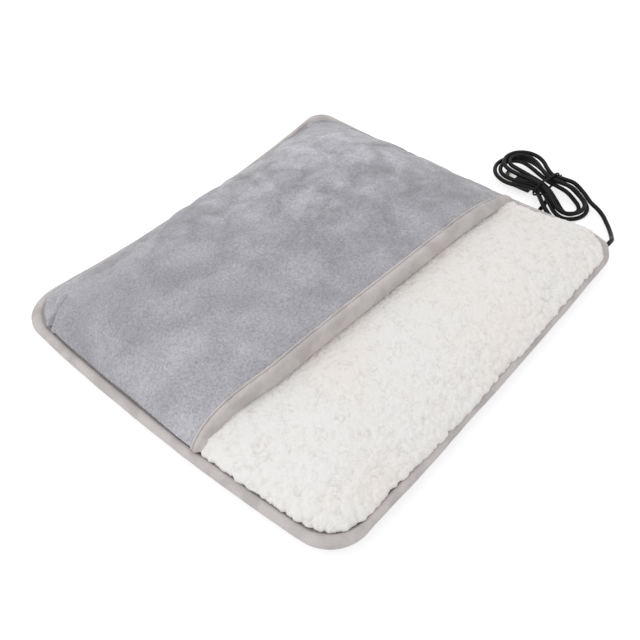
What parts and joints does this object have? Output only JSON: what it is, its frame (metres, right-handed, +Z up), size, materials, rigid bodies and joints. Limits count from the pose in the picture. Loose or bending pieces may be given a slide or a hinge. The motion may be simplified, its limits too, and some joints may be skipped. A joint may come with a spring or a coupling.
{
  "type": "electric foot warmer",
  "caption": "Padded electric foot warmer: grey plush mat with a fleece-lined pocket, taupe edge tape, a black USB lead in a tied hank and a USB-A plug.",
  "frame": {"origin": "middle of the mat's box, without the cord and what is on it, at the bottom of the mat", "axes": "+Z up, the pocket's mouth faces -Y, the cord leaves the front right corner along +X"},
  "size_m": [0.4614, 0.3492, 0.0553],
  "materials": {
    "grey_plush": "short brushed pile",
    "cream_fleece": "curly fleece pile",
    "taupe_tape": "woven tape, matte",
    "wadding": "loose polyester wadding",
    "felt": "needled felt",
    "wire_jacket": "silicone insulation",
    "lead_jacket": "insulation",
    "crimp_metal": "tinned",
    "brown_resin": "moulded resin",
    "black_pvc": "satin flexible PVC",
    "bright_steel": "nickel plated",
    "white_nylon": "moulded",
    "gold_plate": "plated"
  },
  "bodies": {
    "base": {"base_cover": "grey_plush", "base_padding": "wadding", "heater_carrier": "felt", "heating_wire": "wire_jacket", "heater_cover_sheet": "felt", "thermal_cutout": "brown_resin", "thermal_fuse": "bright_steel", "crimp_live": "crimp_metal", "crimp_return": "crimp_metal", "link_wire_live": "lead_jacket", "link_wire_return": "lead_jacket", "lead_live": "lead_jacket", "lead_return": "lead_jacket", "cord_anchor": "black_pvc", "inner_cord": "black_pvc", "bed_padding": "wadding", "foot_bed_lining": "cream_fleece", "perimeter_binding": "taupe_tape", "power_cord": "black_pvc", "cord_hank": "black_pvc", "wire_tie": "black_pvc", "usb_plug_body": "black_pvc", "usb_plug_shell": "bright_steel", "usb_plug_tongue": "white_nylon", "usb_contact_1": "gold_plate", "usb_contact_2": "gold_plate", "usb_contact_3": "gold_plate", "usb_contact_4": "gold_plate"},
    "pocket": {"pocket_cover": "grey_plush", "pocket_padding": "wadding", "pocket_lining": "cream_fleece", "mouth_binding": "taupe_tape"}
  },
  "joints": [
    {"name": "pocket_lift", "type": "hinge", "parent": "base", "child": "pocket", "pos_m": [0, 0.16248, 0.0142], "axis": [-1, 0, 0], "range_deg": [0, 18]}
  ]
}
